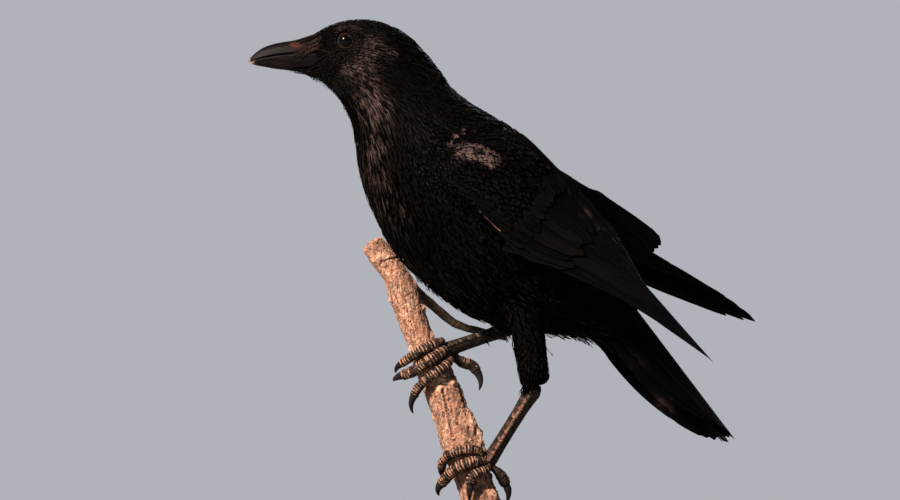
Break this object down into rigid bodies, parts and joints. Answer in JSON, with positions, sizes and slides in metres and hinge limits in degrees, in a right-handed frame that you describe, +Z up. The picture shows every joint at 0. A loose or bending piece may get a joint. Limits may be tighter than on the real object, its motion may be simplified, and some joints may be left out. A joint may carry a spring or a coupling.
{
  "type": "carrion crow on a perch",
  "caption": "Life-size still model of a black crow, wings loosely held, gripping a cut branch on a plain display stand.",
  "frame": {"origin": "middle of the display stand's underside", "axes": "+Z up; the crow faces -X and its left side is towards -Y"},
  "size_m": [0.3724, 0.2231, 0.4431],
  "materials": {
    "feathers": "glossy black plumage with a faint brown and blue sheen",
    "bill": "black horn, satin, worn paler at the tip",
    "eye": "wet dark brown eye",
    "leg": "scaled black skin, worn brown on the scutes",
    "claw": "polished black horn",
    "bark": "dry, reddish tan bark with fine cracks",
    "stand_wood": "dark stained wood, satin varnish",
    "stand_metal": "satin steel"
  },
  "bodies": {
    "root": {"head": "feathers", "neck": "feathers", "breast": "feathers", "belly": "feathers", "rump": "feathers", "chin": "feathers", "wing_left_coverts": "feathers", "wing_left_secondaries": "feathers", "wing_left_primaries": "feathers", "tail_left": "feathers", "thigh_left": "feathers", "eye_left": "eye", "tarsus_left": "leg", "toe_left_inner": "leg", "toe_left_inner_claw": "claw", "toe_left_middle": "leg", "toe_left_middle_claw": "claw", "toe_left_outer": "leg", "toe_left_outer_claw": "claw", "toe_left_hind": "leg", "toe_left_hind_claw": "claw", "wing_right_coverts": "feathers", "wing_right_secondaries": "feathers", "wing_right_primaries": "feathers", "tail_right": "feathers", "thigh_right": "feathers", "eye_right": "eye", "tarsus_right": "leg", "toe_right_inner": "leg", "toe_right_inner_claw": "claw", "toe_right_middle": "leg", "toe_right_middle_claw": "claw", "toe_right_outer": "leg", "toe_right_outer_claw": "claw", "toe_right_hind": "leg", "toe_right_hind_claw": "claw", "bill_upper": "bill", "bill_lower": "bill", "perch_branch": "bark", "perch_twig": "bark", "stand_base": "stand_wood", "stand_rod": "stand_metal"}
  },
  "joints": []
}
